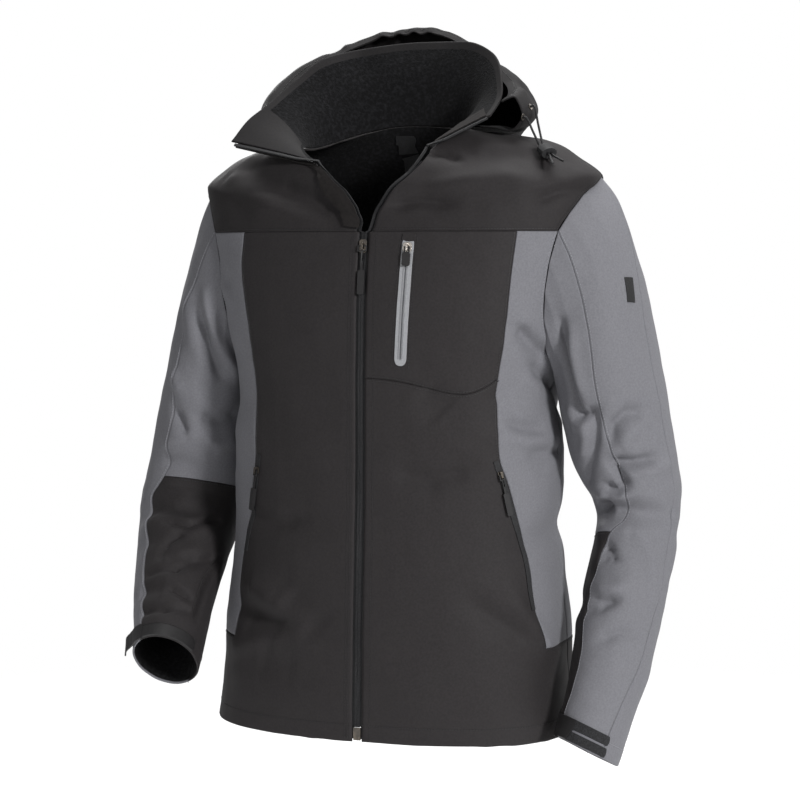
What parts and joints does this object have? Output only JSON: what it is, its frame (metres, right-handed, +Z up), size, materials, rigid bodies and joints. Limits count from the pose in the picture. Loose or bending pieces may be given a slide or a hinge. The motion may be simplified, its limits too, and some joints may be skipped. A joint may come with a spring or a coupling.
{
  "type": "softshell jacket",
  "caption": "Hooded two-tone softshell jacket worn open at the neck, black body and yoke with grey side panels and sleeves, front zip, chest and hand pockets and a dropped hood.",
  "frame": {"origin": "middle of the neck opening at the height of the shoulders' neck points", "axes": "+Z up, -Y to the front of the jacket, +X to the wearer's left"},
  "size_m": [0.6588, 0.3648, 0.835],
  "materials": {
    "black_shell": "matt woven softshell",
    "yoke_shell": "matt woven softshell",
    "grey_shell": "matt woven softshell",
    "light_zip_tape": "woven zip tape",
    "facing": "matt tricot",
    "zip_tape": "nylon coil and tape",
    "trim_tape": "woven tape",
    "cord": "braided elastic",
    "dark_metal": "dark plated metal",
    "black_rubber": "moulded, satin"
  },
  "bodies": {
    "jacket": {"front_left_chest": "black_shell", "front_left_lower": "black_shell", "side_front_left": "grey_shell", "yoke_front_left": "yoke_shell", "front_right": "black_shell", "side_front_right": "grey_shell", "yoke_front_right": "yoke_shell", "side_back_left": "grey_shell", "side_back_right": "grey_shell", "yoke_back": "yoke_shell", "back": "black_shell", "sleeve_front_left": "grey_shell", "sleeve_back_left": "grey_shell", "sleeve_under_left": "grey_shell", "sleeve_forearm_left": "black_shell", "sleeve_front_right": "grey_shell", "sleeve_back_right": "grey_shell", "sleeve_under_right": "grey_shell", "sleeve_forearm_right": "black_shell", "collar": "black_shell", "hood_side_right": "black_shell", "hood_centre": "black_shell", "hood_side_left": "black_shell", "zip_coil": "zip_tape", "zip_box": "dark_metal", "zip_tape_left": "zip_tape", "zip_teeth_left": "zip_tape", "zip_tape_right": "zip_tape", "zip_teeth_right": "zip_tape", "wind_flap": "facing", "zip_facing_left": "facing", "chest_zip": "light_zip_tape", "chest_slider": "dark_metal", "main_slider": "dark_metal", "pocket_zip_left": "zip_tape", "pocket_slider_left": "dark_metal", "pocket_zip_right": "zip_tape", "pocket_slider_right": "dark_metal", "neck_label": "trim_tape", "hanger_loop": "trim_tape", "sleeve_patch": "trim_tape", "velcro_upper_left": "trim_tape", "velcro_lower_left": "trim_tape", "cuff_tab_left": "black_rubber", "cuff_tab_right": "black_rubber", "eyelet_1": "dark_metal", "hood_cord_1": "cord", "eyelet_2": "dark_metal", "hood_cord_2": "cord", "cord_lock": "black_rubber"},
    "main_pull": {"main_pull": "black_rubber"},
    "chest_pull": {"chest_pull": "black_rubber"},
    "pocket_pull_left": {"pocket_pull_left": "black_rubber"},
    "pocket_pull_right": {"pocket_pull_right": "black_rubber"}
  },
  "joints": [
    {"name": "main_pull_hinge", "type": "hinge", "parent": "jacket", "child": "main_pull", "pos_m": [0, -0.13054, -0.1291], "axis": [-1, 0.0012, 0], "range_deg": [0, 165]},
    {"name": "chest_pull_hinge", "type": "hinge", "parent": "jacket", "child": "chest_pull", "pos_m": [0.05202, -0.13131, -0.13041], "axis": [-0.9978, -0.0532, 0.0402], "range_deg": [0, 165]},
    {"name": "pocket_pull_left_hinge", "type": "hinge", "parent": "jacket", "child": "pocket_pull_left", "pos_m": [0.15326, -0.1052, -0.38084], "axis": [-0.7304, -0.6393, -0.2406], "range_deg": [0, 165]},
    {"name": "pocket_pull_right_hinge", "type": "hinge", "parent": "jacket", "child": "pocket_pull_right", "pos_m": [-0.13467, -0.11798, -0.38397], "axis": [-0.8558, 0.4789, 0.1956], "range_deg": [0, 165]}
  ]
}
